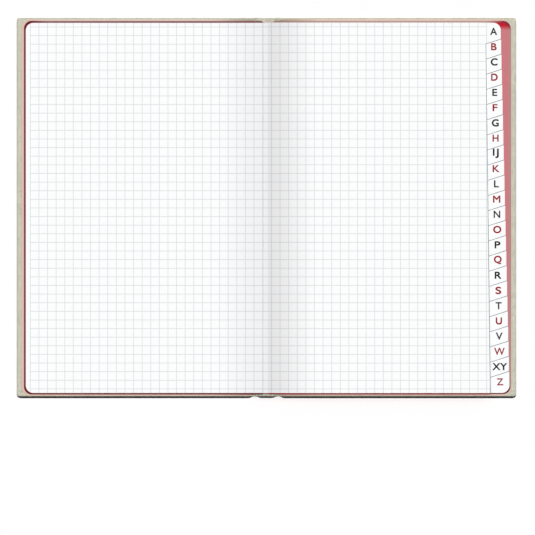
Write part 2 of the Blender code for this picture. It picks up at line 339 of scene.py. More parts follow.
@dataclass(frozen=True)
class BookCloth:
    """Plain-woven linen book cloth: pale warp and grey-olive weft, dull, with threads of uneven tone and
    painted shade between them.
    """

    name: str = "linen book cloth"
    warp: str = "#E7E6D2"
    weft: str = "#CFCEB9"
    # Such cloth has threads about 0.4 mm apart, which are drawn coarser here so that they show in the render
    pitch: float = 0.75 * MM
    # Lengths on the cloth are counted in threads
    wander: float = 0.22
    wander_length: float = 6.25
    slub_length: float = 6.0
    patch: float = 26.0
    warp_swing: float = 0.18
    weft_swing: float = 0.36
    patch_swing: float = 0.015
    # Painted shade between threads: the share of the yarn's colour left where they sink lowest
    hollow_shade_tone: float = 0.28
    thread_seed: float = 7.31

    def build(self) -> Material:
        """Make the material: two sets of wandering threads with slubs, over and under one another, with
        painted shade where they sink.
        """
        made, add, shader = new_material(self.name)
        spot = add("ShaderNodeUVMap", uv_map=UV_NAME)
        straight = add(VECTOR, {0: spot, "Scale": 1.0 / self.pitch}, "SCALE")
        drift = add(NOISE, {"Vector": straight, "Scale": 1.0 / self.wander_length, "Detail": 2.0},
                    out="Color")
        drift = add(VECTOR, [drift, (0.5, 0.5, 0.5)], "SUBTRACT")
        threads = add(VECTOR, [drift, (self.wander, self.wander, 0.0), straight], "MULTIPLY_ADD")
        threads = add(VECTOR, [threads, (0.0, 0.0, 0.5)], "ADD")
        over = add("ShaderNodeTexChecker", {"Vector": threads, "Scale": 1.0}, out="Fac")
        crossing = add(VECTOR, [threads], "FLOOR")
        place = add(SPLIT, [threads]).node.outputs
        rounds = []
        slubs = []
        seed = self.thread_seed
        pace = 1.0 / self.slub_length
        for axis, own, run, swing in (("X", (seed, 0.0, 0.0), (0.0, pace, 0.0), self.warp_swing),
                                      ("Y", (0.0, seed, 0.0), (pace, 0.0, 0.0), self.weft_swing)):
            rise = add(MATH, [place[axis], 0.5], "PINGPONG")
            doubled = add(MATH, [rise, 2.0], "MULTIPLY")
            rounds.append(add(MATH, [doubled], "SQRT"))
            along = add(VECTOR, [threads, run], "MULTIPLY")
            along = add(VECTOR, [crossing, own, along], "MULTIPLY_ADD")
            slub = add(NOISE, {"Vector": along, "Scale": 1.0, "Detail": 3.0, "Roughness": 0.6})
            slubs.append(add(RANGE, [slub, NOISE_LOW, NOISE_HIGH, 1.0 - swing, 1.0 + swing]))
        across = add(MIX, {"Factor": over, "A": rounds[0], "B": rounds[1]})
        along = add(MIX, {"Factor": over, "A": rounds[1], "B": rounds[0]})
        along = add(MATH, [along, 0.4], "POWER")
        height = add(MATH, [across, along], "MULTIPLY")
        uneven = add(MIX, {"Factor": over, "A": slubs[0], "B": slubs[1]})
        yarn = add(MIX, {"Factor": over, "A": linear(self.warp), "B": linear(self.weft)}, data_type="RGBA")
        # Painted shade: the colour darkens where the threads sink between one another
        hollow_shade = add(RANGE, [height, 0.05, 0.7, self.hollow_shade_tone, 1.0])
        cloudy = add(NOISE, {"Vector": threads, "Scale": 1.0 / self.patch, "Detail": 2.0})
        cloudy = add(RANGE, [cloudy, NOISE_LOW, NOISE_HIGH, 1.0 - self.patch_swing, 1.0 + self.patch_swing])
        tone = add(MATH, [hollow_shade, uneven], "MULTIPLY")
        tone = add(MATH, [tone, cloudy], "MULTIPLY")
        colour = add(MIX, {"Factor": 1.0, "A": yarn, "B": tone}, data_type="RGBA", blend_type="MULTIPLY")
        bump = add(BUMP, {"Height": height, "Strength": 0.6, "Distance": 0.1 * MM})
        set_inputs(shader, {
            "Base Color": colour, "Normal": bump, "Roughness": 0.92, "Specular IOR Level": 0.2,
            "Sheen Weight": 0.1,
        })
        return made


@dataclass(frozen=True)
class SpeckledStock:
    """Plain dull stock, such as grey board, a cut edge or ink on paper: two tones in one soft speckle."""

    name: str
    dark: str
    pale: str
    grain: float
    roughness: float = 0.9
    specular: float = 0.5
    detail: float = 5.0
    stretch: tuple[float, float, float] = (1.0, 1.0, 1.0)
    relief: float = 0.3

    def build(self) -> Material:
        """Make the material: a speckle of two tones, with a faint bump where it has relief."""
        made, add, shader = new_material(self.name)
        spot = add("ShaderNodeTexCoord", out="Object")
        spot = add(VECTOR, [spot, self.stretch], "MULTIPLY")
        noise = add(NOISE, {"Vector": spot, "Scale": 1.0 / self.grain, "Detail": self.detail})
        colour = add(MIX, {"Factor": noise, "A": linear(self.dark), "B": linear(self.pale)}, data_type="RGBA")
        finish = {"Base Color": colour, "Roughness": self.roughness, "Specular IOR Level": self.specular}
        if self.relief:
            finish["Normal"] = add(BUMP, {"Height": noise, "Strength": self.relief, "Distance": 0.05 * MM})
        set_inputs(shader, finish)
        return made


class Finishes:
    """Every finish of the notebook, made once and shared by its pieces."""

    def __init__(self) -> None:
        """Build the materials."""
        # The first page's ramp paints the gutter's shade: lighter at its root, darkest just past the crease,
        # fading beyond
        self.first = PagePaper(
            "grid paper first index page", Ruling.FIRST, head_share=0.35, fold_shade_reach=30.0 * MM,
            fold=((0.0, "#EFF0F0"), (0.085, "#EDEDEE"), (0.095, "#E2E2E3"), (0.4, "#E9E9EA"),
                  (0.6, "#F0F0F1")),
        ).build()
        self.index = PagePaper("grid paper index page", Ruling.INDEX, head_share=0.35).build()
        # The last page's darker stain is partly stain and partly painted shade at its corner and tail
        self.last = PagePaper(
            "grid paper last index page, stain and painted shade", Ruling.INDEX, stain="#5A1A20", stain_share=0.6, head_share=0.35,
        ).build()
        self.left = PagePaper(
            "grid paper left page", Ruling.LEFT, stain="#A01230", stain_share=0.85, end_share=0.8,
            head_share=0.9, soak=0.12 * MM, left_margin=2.75 * MM, fold=((0.0, "#EEEFF0"), (0.4, "#F2F3F4")),
        ).build()
        # The lower left gatherings' deep stain is partly stain and partly painted shade along the outer edge
        # line
        self.left_deep_stain_and_shade = PagePaper(
            "grid paper deep stain and painted shade", Ruling.LEFT, stain="#600414", stain_share=1.0, head_share=0.9,
        ).build()
        # Endpapers: thicker and duller, with painted shade darkening them towards the fold
        # The front endpaper's deep stain is partly stain and partly painted shade along the outer edge line
        self.front_endpaper = PagePaper(
            "front endpaper", Ruling.PLAIN, paper="#D2C6BA", stain="#620A1E", stain_share=0.95,
            head_share=0.55, soak=0.6 * MM, fold=((0.0, "#8E8478"), (0.4, "#B7AB9E")),
        ).build()
        # The back endpaper's darker paper, where it shows past the head of the pages, is a painted shadow line
        self.back_endpaper_painted_shadow = PagePaper(
            "back endpaper, painted shadow line", Ruling.PLAIN, paper="#B8A99C", stain="#7C2A35", stain_share=0.6, head_share=0.15,
            soak=0.6 * MM, fold=((0.0, "#8C8674"), (0.5, "#A69C8B")),
        ).build()
        self.glued = PagePaper(
            "glued endpaper", Ruling.PLAIN, paper="#DDD0C3", stain="#E0867A", stain_share=0.3, end_share=0.3,
            head_share=0.2, soak=2.0 * MM, soak_fade=0.8 * MM, fold=((0.0, "#9A9482"), (0.5, "#BBB1A0")),
        ).build()
        self.bare_edge = SpeckledStock("cut paper edge", "#E2E3E4", "#F4F5F5", 0.3 * MM, 0.8).build()
        # Stained edges: matt red, uneven in streaks along the leaves
        self.stain = SpeckledStock("stained paper edge", "#A8132A", "#CF3144", 0.4 * MM, 0.7, 0.3, 3.0,
                                   (0.15, 0.15, 1.0), 0.0).build()
        self.cloth = BookCloth().build()
        self.board = SpeckledStock("grey board", "#6E6A63", "#8C877E", 0.5 * MM).build()
        self.folds = SpeckledStock("glued paper folds", "#CFCBBF", "#E6E3DA", 0.4 * MM, 0.7).build()
        self.gauze = SpeckledStock("lining gauze", "#B9B4A6", "#DAD6CA", 0.6 * MM).build()
        # Offset ink: flat colour, slightly uneven where the paper drinks it
        ink = partial(SpeckledStock, grain=0.5 * MM, roughness=0.6, specular=0.05, detail=3.0, relief=0.0)
        self.black_ink = ink("black index ink", "#050506", "#101012").build()
        self.red_ink = ink("red index ink", "#8C0E1A", "#A01825").build()
        # Grey ink along each index cut: painted shadow of the step at the cut
        self.cut_shadow_ink = ink("grey rule ink", "#687076", "#828B92").build()


def grow(name: str, start: Mesh, tree: NodeTree, values: dict) -> Object:
    """Run a Geometry Nodes tree over a mesh, and keep what it makes as a plain mesh.

    Args:
        name: the new object's name.
        start: the mesh that the tree starts from.
        tree: the tree.
        values: the tree's inputs by name.

    Returns:
        The object, with no modifier left on it.
    """
    made = bpy.data.objects.new(name, start)
    bpy.context.scene.collection.objects.link(made)
    step = made.modifiers.new("grow", "NODES")
    step.node_group = tree
    identifiers = {item.name: item.identifier for item in tree.interface.items_tree if item.in_out == "INPUT"}
    for label, value in values.items():
        step[identifiers[label]] = value
    depsgraph = bpy.context.evaluated_depsgraph_get()
    grown = bpy.data.meshes.new_from_object(made.evaluated_get(depsgraph), depsgraph=depsgraph)
    made.modifiers.remove(step)
    made.data = grown
    grown.name = name
    return made


def leaf_tree() -> NodeTree:
    """Build the tree that bends a flat leaf up out of its fold, thickens it and lays copies on it.

    Returns:
        The tree. Its height over the fold follows a quarter round at the fold, and then a swell or dip that
        dies out over the run.
    """
    tree, add, given = new_tree("curved leaves", {
        "Geometry": ("Geometry",), "Int": ("Leaves",), "Material": ("Top", "Under", "Stained", "Bare"),
        "Float": ("Fold X", "Side", "Height", "Swell", "Run", "Rise", "Level", "Leaf", "Step", "Slide",
                  "Fore X", "Stain Y"),
    })

    spot = add("GeometryNodeInputPosition")
    place = add(SPLIT, [spot]).node.outputs
    offset = add(MATH, [place["X"], given["Fold X"]], "SUBTRACT")
    out = add(MATH, [offset, given["Side"]], "MULTIPLY")
    fade = add(RANGE, {"Value": out, "From Max": given["Run"], "To Min": 1.0, "To Max": 0.0})
    fade = add(MATH, [fade, 2.0], "POWER")
    swollen = add(MATH, [fade, given["Swell"], given["Height"]], "MULTIPLY_ADD")
    short = add(RANGE, {"Value": out, "From Max": given["Rise"], "To Min": 1.0, "To Max": 0.0})
    squared = add(MATH, [short, short], "MULTIPLY")
    left = add(MATH, [1.0, squared], "SUBTRACT")
    rise = add(MATH, [left], "SQRT")
    lift = add(MATH, [swollen, rise, given["Level"]], "MULTIPLY_ADD")
    shift = add(COMBINE, {"Z": lift})
    bent = add(PLACE, {"Geometry": given["Geometry"], "Offset": shift})

    thick = add("GeometryNodeExtrudeMesh",
                {"Mesh": bent, "Offset Scale": given["Leaf"], "Individual": False}).node.outputs
    sheet = add(SET_MATERIAL, {"Geometry": thick["Mesh"], "Material": given["Top"]})
    base = add("GeometryNodeFlipFaces", {"Mesh": bent})
    base = add(SET_MATERIAL, {"Geometry": base, "Material": given["Under"]})
    joined = add(JOIN, {0: [sheet, base]})
    closed = add(MERGE, {"Geometry": joined, "Distance": WELD})

    back = add(MATH, [given["Slide"], given["Side"]], "MULTIPLY")
    back = add(MATH, [back, -1.0], "MULTIPLY")
    pace = add(COMBINE, {"X": back, "Z": given["Step"]})
    pile = add("GeometryNodeMeshLine", {"Count": given["Leaves"], "Offset": pace}, mode="OFFSET")
    copies = add("GeometryNodeInstanceOnPoints", {"Points": pile, "Instance": closed})
    plain = add("GeometryNodeRealizeInstances", {"Geometry": copies})

    centred = add(MATH, [place["Y"], PAGE_DROP], "ADD")
    up = add(MATH, [centred], "ABSOLUTE")
    near_end = add("FunctionNodeCompare", [up, given["Stain Y"]], "GREATER_THAN")
    reach = add(MATH, [place["X"], given["Side"]], "MULTIPLY")
    fore = add(MATH, [given["Fore X"], given["Side"], -EDGE_REACH], "MULTIPLY_ADD")
    at_fore = add("FunctionNodeCompare", [reach, fore], "GREATER_THAN")
    outer = add("FunctionNodeBooleanMath", [near_end, at_fore], "OR")
    stained = add("FunctionNodeBooleanMath", [thick["Side"], outer], "AND")
    plain = add(SET_MATERIAL, {"Geometry": plain, "Selection": thick["Side"], "Material": given["Bare"]})
    plain = add(SET_MATERIAL, {"Geometry": plain, "Selection": stained, "Material": given["Stained"]})
    add("NodeGroupOutput", {"Geometry": plain})
    return tree


def mark_tree() -> NodeTree:
    """Build the tree that prints one index tab: its letters, and a grey line along the cut below it that
    paints the shadow of the cut's step.

    Returns:
        The tree. It starts from the cut as a line of edges, and gives letters and rule as thin closed films.
    """
    tree, add, given = new_tree("index mark", {
        "Geometry": ("Geometry",), "String": ("Letters",), "Vector": ("Centre",),
        "Material": ("Letter Ink", "Cut Shadow Ink"),
        "Float": ("Size", "Width", "Spacing", "Weight", "Film", "Cut Shadow Width"),
    })

    typed = add("GeometryNodeStringToCurves",
                {"String": given["Letters"], "Size": given["Size"], "Character Spacing": given["Spacing"]})
    typed = add("GeometryNodeRealizeInstances", {"Geometry": typed})
    wide = add(COMBINE, {"X": given["Width"], "Y": 1.0, "Z": 1.0})
    typed = add("GeometryNodeTransform", {"Geometry": typed, "Scale": wide})
    typed = add("GeometryNodeResampleCurve", {"Curve": typed}, mode="EVALUATED")
    along = add("GeometryNodeInputTangent")
    outward = add(VECTOR, [along, (0.0, 0.0, 1.0)], "CROSS_PRODUCT")
    swell = add(VECTOR, {0: outward, "Scale": given["Weight"]}, "SCALE")
    typed = add(PLACE, {"Geometry": typed, "Offset": swell})
    flat = add("GeometryNodeFillCurve", {"Curve": typed})
    box = add("GeometryNodeBoundBox", {"Geometry": flat}).node.outputs
    total = add(VECTOR, [box["Min"], box["Max"]], "ADD")
    middle = add(VECTOR, {0: total, "Scale": 0.5}, "SCALE")
    move = add(VECTOR, [given["Centre"], middle], "SUBTRACT")
    flat = add(PLACE, {"Geometry": flat, "Offset": move})
    raised = add("GeometryNodeExtrudeMesh",
                 {"Mesh": flat, "Offset Scale": given["Film"], "Individual": False})
    under = add("GeometryNodeFlipFaces", {"Mesh": flat})
    letters = add(JOIN, {0: [raised, under]})
    letters = add(MERGE, {"Geometry": letters, "Distance": WELD})
    letters = add(SET_MATERIAL, {"Geometry": letters, "Material": given["Letter Ink"]})

    # Painted shadow: a grey line along the cut, where the step of the cut would cast shade
    path = add("GeometryNodeMeshToCurve", {"Mesh": given["Geometry"]})
    profile = add("GeometryNodeCurvePrimitiveQuadrilateral",
                  {"Width": given["Cut Shadow Width"], "Height": given["Film"]})
    cut_shadow = add("GeometryNodeCurveToMesh", {"Curve": path, "Profile Curve": profile, "Fill Caps": True})
    cut_shadow = add(MERGE, {"Geometry": cut_shadow, "Distance": WELD})
    cut_shadow = add(SET_MATERIAL, {"Geometry": cut_shadow, "Material": given["Cut Shadow Ink"]})
    both = add(JOIN, {0: [letters, cut_shadow]})
    add("NodeGroupOutput", {"Geometry": both})
    return tree


def corner(x: float, y: float, start: float, radius: float = PAGE_CORNER) -> Points:
    """Give the points of a quarter round about a centre, counter-clockwise from a start in degrees."""
    turns = [math.radians(start + 90.0 * step / CORNER_STEPS) for step in range(CORNER_STEPS + 1)]
    return [(x + radius * math.cos(turn), y + radius * math.sin(turn)) for turn in turns]


def column_x(y: float) -> float:
    """Give the index column's inner edge at a height on the page."""
    return FIRST_CUT_X + (FIRST_CUT_Y - PAGE_DROP - y) * COLUMN_DRIFT


@dataclass
class Leaves:
    """Leaves that move as one: thin sheets that rise out of the fold and lie flat beyond it.

    The rise is a quarter round, and the swell dies out over the run. Each leaf is set back from the one below
    by the slide. The inset moves the fore-edge, and the tuck moves the fold.
    """

    node: str
    side: Side
    leaves: int
    top: Material
    under: Material
    swell: float
    rise: float
    bend: float
    head_flare: float = 0.0
    tail_flare: float = 0.0
    run: float = 28.0 * MM
    slide: float = 0.085 * MM
    inset: float = 0.0
    tuck: float = 0.0
    tab: int | None = None

    def __post_init__(self) -> None:
        """Read the leaves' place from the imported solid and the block's axis."""
        axes = {joint["name"]: joint["pos_m"] for joint in frame["joints"]}
        block = axes["text_spine_hinge"]
        low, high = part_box(self.node)
        self.level = block[2]
        self.height = low[2] - block[2]
        self.solid_x = high[0] if self.side is Side.RIGHT else low[0]

    @property
    def fore_x(self) -> float:
        """Give the fore-edge of the lowest leaf."""
        return self.solid_x - self.side.value * self.inset

    @property
    def fold_x(self) -> float:
        """Give the fold of the lowest leaf."""
        return self.solid_x - self.side.value * (PAGE_WIDTH + self.tuck)

    def outline(self) -> Points:
        """Give the leaf's flat outline, counter-clockwise from the fold."""
        head = PAGE_HEAD_Y + self.head_flare
        tail = PAGE_TAIL_Y - self.tail_flare
        round_x = self.fore_x - self.side.value * PAGE_CORNER
        if self.side is Side.LEFT:
            rounds = corner(round_x, head - PAGE_CORNER, 90.0) + corner(round_x, tail + PAGE_CORNER, 180.0)
            return [(self.fold_x, head)] + rounds + [(self.fold_x, tail)]
        upper = corner(round_x, head - PAGE_CORNER, 0.0) + [(self.fold_x, head)]
        lower = [(self.fold_x, tail)]
        if self.tab is None or self.tab == len(TABS) - 1:
            return lower + corner(round_x, tail + PAGE_CORNER, -90.0) + upper
        return lower + [(column_x(tail), tail)] + self.cut_line() + upper

    def cut_line(self) -> Points:
        """Give the slanting cut below the leaf's own tab, from the column to the fore-edge."""
        cut_y = FIRST_CUT_Y - PAGE_DROP - self.tab * TAB_PITCH
        inner_x = column_x(cut_y)
        return [(inner_x, cut_y), (self.fore_x, cut_y + CUT_SLOPE * (self.fore_x - inner_x))]

    def blank(self) -> Mesh:
        """Make the flat leaf, with crease lines close together near the fold."""
        flat = bmesh.new()
        flat.faces.new([flat.verts.new((x, y, 0.0)) for x, y in self.outline()])
        fine = [self.rise * share for share in RISE_CREASES]
        slow = [self.rise + (self.run - self.rise) * step / RUN_CREASES for step in range(1, RUN_CREASES + 1)]
        for out in fine + slow:
            everything = flat.verts[:] + flat.edges[:] + flat.faces[:]
            x = self.fold_x + self.side.value * out
            bmesh.ops.bisect_plane(flat, geom=everything, dist=SNAP, plane_co=(x, 0, 0), plane_no=(1, 0, 0))
        mesh = bpy.data.meshes.new(self.node + "_blank")
        flat.to_mesh(mesh)
        flat.free()
        return mesh

    def build(self, tree: NodeTree, finishes: Finishes) -> None:
        """Grow the sheets and give them their page coordinates.

        Args:
            tree: the tree that bends and piles leaves.
            finishes: the notebook's finishes.
        """
        pile = grow(self.node + "_sheets", self.blank(), tree, {
            "Fold X": self.fold_x, "Side": float(self.side.value), "Height": self.height, "Swell": self.swell,
            "Run": self.run, "Rise": self.rise, "Level": self.level, "Leaf": LEAF, "Step": LEAF_STEP,
            "Slide": self.slide, "Fore X": self.fore_x, "Stain Y": PAGE_HALF_HEIGHT - PAGE_CORNER,
            "Leaves": self.leaves, "Top": self.top, "Under": self.under, "Stained": finishes.stain,
            "Bare": finishes.bare_edge,
        })
        pile.data.shade_smooth()
        pile.data.set_sharp_from_angle(angle=SHARP)
        page = pile.data.uv_layers.new(name=UV_NAME)
        each = len(pile.data.vertices) // self.leaves
        for loop in pile.data.loops:
            spot = pile.data.vertices[loop.vertex_index].co
            slid = self.slide * (loop.vertex_index // each)
            up = (spot.y + PAGE_DROP) / PAGE_STRETCH
            page.data[loop.index].uv = (PAGE_WIDTH + slid - abs(self.fore_x - spot.x), up)
        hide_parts(self.node)
        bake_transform(pile)


@dataclass
class IndexMark:
    """The print on one tab: its letters in the middle of what shows, and a grey line along its cut that paints
    the shadow of the step there.
    """

    leaves: Leaves
    cap_height: float = 4.15 * MM
    # Capitals take up this share of the font's size
    cap_share: float = 0.729
    weight: float = 0.19 * MM
    film: float = 0.01 * MM
    cut_shadow_width: float = 0.36 * MM
    first_y: float = 102.5 * MM
    pitch: float = 8.852 * MM

    def build(self, tree: NodeTree, finishes: Finishes) -> None:
        """Print the tab and ride it on its leaves.

        Args:
            tree: the tree that prints marks.
            finishes: the notebook's finishes.
        """
        index = self.leaves.tab
        label = TABS[index]
        surface = self.leaves.level + self.leaves.height + LEAF_STEP * (self.leaves.leaves - 1) + LEAF
        middle_y = self.first_y - PAGE_DROP - index * self.pitch
        centre = ((column_x(middle_y) + self.leaves.fore_x) / 2, middle_y, surface)
        mark = grow("index_mark_" + label, self.cut_path(surface), tree, {
            "Letters": label, "Size": self.cap_height / self.cap_share, "Width": WIDER.get(label, 1.0),
            "Spacing": SPACED.get(label, 1.0), "Weight": self.weight, "Film": self.film,
            "Cut Shadow Width": self.cut_shadow_width, "Centre": centre,
            "Letter Ink": finishes.black_ink if index % 2 == 0 else finishes.red_ink,
            "Cut Shadow Ink": finishes.cut_shadow_ink,
        })
        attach(mark, self.leaves.node)
        LOG.info("%s: printed on %s", mark.name, self.leaves.node)

    def cut_path(self, surface: float) -> Mesh:
        """Draw the painted shadow line just inside the cut, at the face's height; the last tab has none."""
        path = bpy.data.meshes.new("cut_" + TABS[self.leaves.tab])
        if self.leaves.tab == len(TABS) - 1:
            return path
        inset = self.cut_shadow_width / 2
        points = [(column_x(PAGE_TAIL_Y), PAGE_TAIL_Y)] + self.leaves.cut_line()
        places = [(x - inset, y + inset, surface + self.film / 2) for x, y in points]
        path.from_pydata(places, [(0, 1), (1, 2)], [])
        return path


def rounded_slab(low: Vector, high: Vector, rim: float, corner_radius: float) -> BMesh:
    """Make a slab with rounded upright corners and softly rounded rims, as loops stacked from below.

    Args:
        low: its lowest corner.
        high: its highest corner.
        rim: the rounding of its rims.
        corner_radius: the rounding of its corners in plan, at least as large as the rim's.

    Returns:
        The slab as a bmesh.
    """
    turns = [math.radians(90.0 * step / RIM_STEPS) for step in range(RIM_STEPS + 1)]
    quarter = [(rim * (1.0 - math.sin(turn)), rim * (1.0 - math.cos(turn))) for turn in turns]
    flat = 2.0 * rim
    least = 0.1 * rim
    levels = [(flat, low.z)] + [(inset, low.z + up) for inset, up in quarter]
    levels += [(inset, high.z - up) for inset, up in reversed(quarter)] + [(flat, high.z)]
    slab = bmesh.new()
    loops = []
    for inset, z in levels:
        radius = max(corner_radius - inset, least)
        ends = (low.x + inset + radius, high.x - inset - radius, low.y + inset + radius,
                high.y - inset - radius)
        centres = ((ends[1], ends[3], 0.0), (ends[0], ends[3], 90.0), (ends[0], ends[2], 180.0),
                   (ends[1], ends[2], 270.0))
        points = [point for x, y, start in centres for point in corner(x, y, start, radius)]
        loops.append([slab.verts.new((x, y, z)) for x, y in points])
    slab.faces.new(list(reversed(loops[0])))
    slab.faces.new(loops[-1])
    for under, over in zip(loops, loops[1:]):
        for place, here in enumerate(under):
            after = (place + 1) % len(under)
            slab.faces.new((here, under[after], over[after], over[place]))
    return slab


def finish_mesh(name: str, made: BMesh, material: Material) -> Object:
    """Turn a bmesh to a smooth-shaded object with cloth coordinates that run round its edges.

    Args:
        name: the object's name.
        made: the bmesh, which is freed.
        material: its finish.

    Returns:
        The object, linked to the scene.
    """
    mesh = bpy.data.meshes.new(name)
    made.to_mesh(mesh)
    made.free()
    mesh.shade_smooth()
    mesh.set_sharp_from_angle(angle=SHARP)
    mesh.materials.append(material)
    weave = mesh.uv_layers.new(name=UV_NAME)
    levels = [vert.co.z for vert in mesh.vertices]
    low, high = min(levels), max(levels)
    for face in mesh.polygons:
        for place in face.loop_indices:
            spot = mesh.vertices[mesh.loops[place].vertex_index].co
            depth = min(spot.z - low, high - spot.z)
            weave.data[place].uv = (spot.x + depth * face.normal.x, spot.y + depth * face.normal.y)
    thing = bpy.data.objects.new(name, mesh)
    bpy.context.scene.collection.objects.link(thing)
    return thing


@dataclass
class Cover:
    """One cover: cloth turned in round its board, and running down the groove to the edge of the spine."""

    name: str
    body: str
    side: Side
    rim: float = 0.7 * MM
    corner_radius: float = 1.3 * MM
    cloth: float = 0.35 * MM
    end_gap: float = 0.06 * MM
    # Share of the groove that bends, and how far its weave is spread
    bend_share: float = 0.5
    opening: float = 1.3

    def build(self, finishes: Finishes) -> None:
        """Make the covered board and the groove cloth as one piece.

        Args:
            finishes: the notebook's finishes.
        """
        node = self.name + "_cover_cloth"
        sign = self.side.value
        low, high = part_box(node)
        spine_side = min(abs(end[0]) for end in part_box(self.name + "_board")) - self.cloth
        spine_edge = max(abs(end[0]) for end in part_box("spine_cloth"))
        fore = max(abs(low[0]), abs(high[0]))
        span = sorted((sign * spine_side, sign * fore))
        slab = rounded_slab(Vector((span[0], low[1], low[2])), Vector((span[1], high[1], high[2])), self.rim,
                            self.corner_radius)
        path = self.groove_path(spine_side, spine_edge)
        self.add_groove(slab, path, (low, high))
        cover = finish_mesh(node + "_wrap", slab, finishes.cloth)
        self.weave_groove(cover, path)
        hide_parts(node)
        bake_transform(cover)
        LOG.info("%s: cloth from the fore-edge to the spine, on %s", cover.name, self.body)

    def groove_path(self, board_x: float, spine_x: float) -> Points:
        """Draw the middle of the cloth from the board to the spine: two creases with a ridge between them."""
        # Share of the way from the spine to the board, and height in mm
        shape = ((1.15, 1.2), (1.02, 1.3), (0.92, 1.7), (0.82, 1.9), (0.73, 1.65), (0.65, 1.2), (0.57, 0.95),
                 (0.49, 1.1), (0.42, 1.6), (0.35, 2.0), (0.28, 2.05), (0.2, 1.8), (0.1, 1.25), (0.0, 0.8),
                 (-0.12, 0.62), (-0.25, 0.55))
        return [(spine_x + share * (board_x - spine_x), level * MM) for share, level in shape]

    def weave_groove(self, cover: Object, path: Points) -> None:
        """Run the weave along the groove, stretched open as when the book is shut.

        Args:
            cover: the cover's cloth, whose last faces are the groove.
            path: the points of the groove.
        """
        reach = [path[0][0]]
        for before, after in zip(path, path[1:]):
            reach.append(reach[-1] - math.dist(before, after) * self.opening)
        weave = cover.data.uv_layers[UV_NAME].data
        groove_faces = 2 + 4 * (len(path) - 1)
        for face in cover.data.polygons[-groove_faces:]:
            for place in face.loop_indices:
                spot = cover.data.vertices[cover.data.loops[place].vertex_index].co
                gaps = [math.dist((abs(spot.x), spot.z), point) for point in path]
                weave[place].uv = (self.side.value * reach[gaps.index(min(gaps))], spot.y)

    def add_groove(self, slab: BMesh, path: Points, box: tuple[Vector, Vector]) -> None:
        """Add the cloth that dips from the board into the groove and comes out at the spine's edge.

        Args:
            slab: the covered board, which takes the new faces.
            path: the points of the groove.
            box: the lowest and highest corners of the cloth.
        """
        sign = self.side.value
        low, high = box
        ends = (low[1] + self.end_gap, high[1] - self.end_gap)
        rings = []
        for place, (x, z) in enumerate(path):
            before = path[max(place - 1, 0)]
            after = path[min(place + 1, len(path) - 1)]
            run = Vector((after[0] - before[0], after[1] - before[1])).normalized()
            normal = Vector((-run.y, run.x)) * (self.cloth / 2)
            edges = ((x + normal.x, z + normal.y), (x - normal.x, z - normal.y))
            rings.append([slab.verts.new((sign * ex, y, ez)) for y in ends for ex, ez in edges])
        # Round each ring: tail below, tail above, head above, head below
        order = (0, 1, 3, 2)
        faces = [slab.faces.new([rings[0][place] for place in order]),
                 slab.faces.new([rings[-1][place] for place in reversed(order)])]
        for first, second in zip(rings, rings[1:]):
            for place in range(4):
                here, there = order[place], order[(place + 1) % 4]
                faces.append(slab.faces.new((first[here], second[here], second[there], first[there])))
        bmesh.ops.recalc_face_normals(slab, faces=faces)


@dataclass
class CaseSpine:
    """The case's spine: cloth over a strip of card, with soft edges along its back."""

    rim: float = 0.6 * MM
    corner_radius: float = 0.7 * MM

    def build(self, finishes: Finishes) -> None:
        """Make the covered strip and ride it on the case spine."""
        low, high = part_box("spine_cloth")
        slab = rounded_slab(Vector(low), Vector(high), self.rim, self.corner_radius)
        spine = finish_mesh("spine_cloth_wrap", slab, finishes.cloth)
        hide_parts("spine_cloth")
        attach(spine, "case_spine")
        LOG.info("%s: on case_spine", spine.name)


@dataclass
class Pastedown:
    """The endpaper glued inside a cover: it shows as a pink rim, where the edge stain has bled into it."""

    name: str
    body: str
    side: Side
    corner_radius: float = 5.5 * MM
    tail_reach: float = 0.4 * MM
    rim_share: float = 0.3

    def build(self, finishes: Finishes) -> None:
        """Make the glued sheet and ride it on its cover."""
        low, high = (Vector(point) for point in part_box(self.name))
        low.y -= self.tail_reach
        fore_x = high.x if self.side is Side.RIGHT else low.x
        slab = rounded_slab(low, high, self.rim_share * (high.z - low.z), self.corner_radius)
        sheet = finish_mesh(self.name + "_sheet", slab, finishes.glued)
        page = sheet.data.uv_layers[UV_NAME].data
        for loop in sheet.data.loops:
            spot = sheet.data.vertices[loop.vertex_index].co
            up = spot.y * PAGE_HALF_HEIGHT / abs(high.y if spot.y > 0.0 else low.y)
            page[loop.index].uv = (PAGE_WIDTH - abs(fore_x - spot.x), up)
        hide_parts(self.name)
        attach(sheet, self.body)
        LOG.info("%s: on %s", sheet.name, self.body)


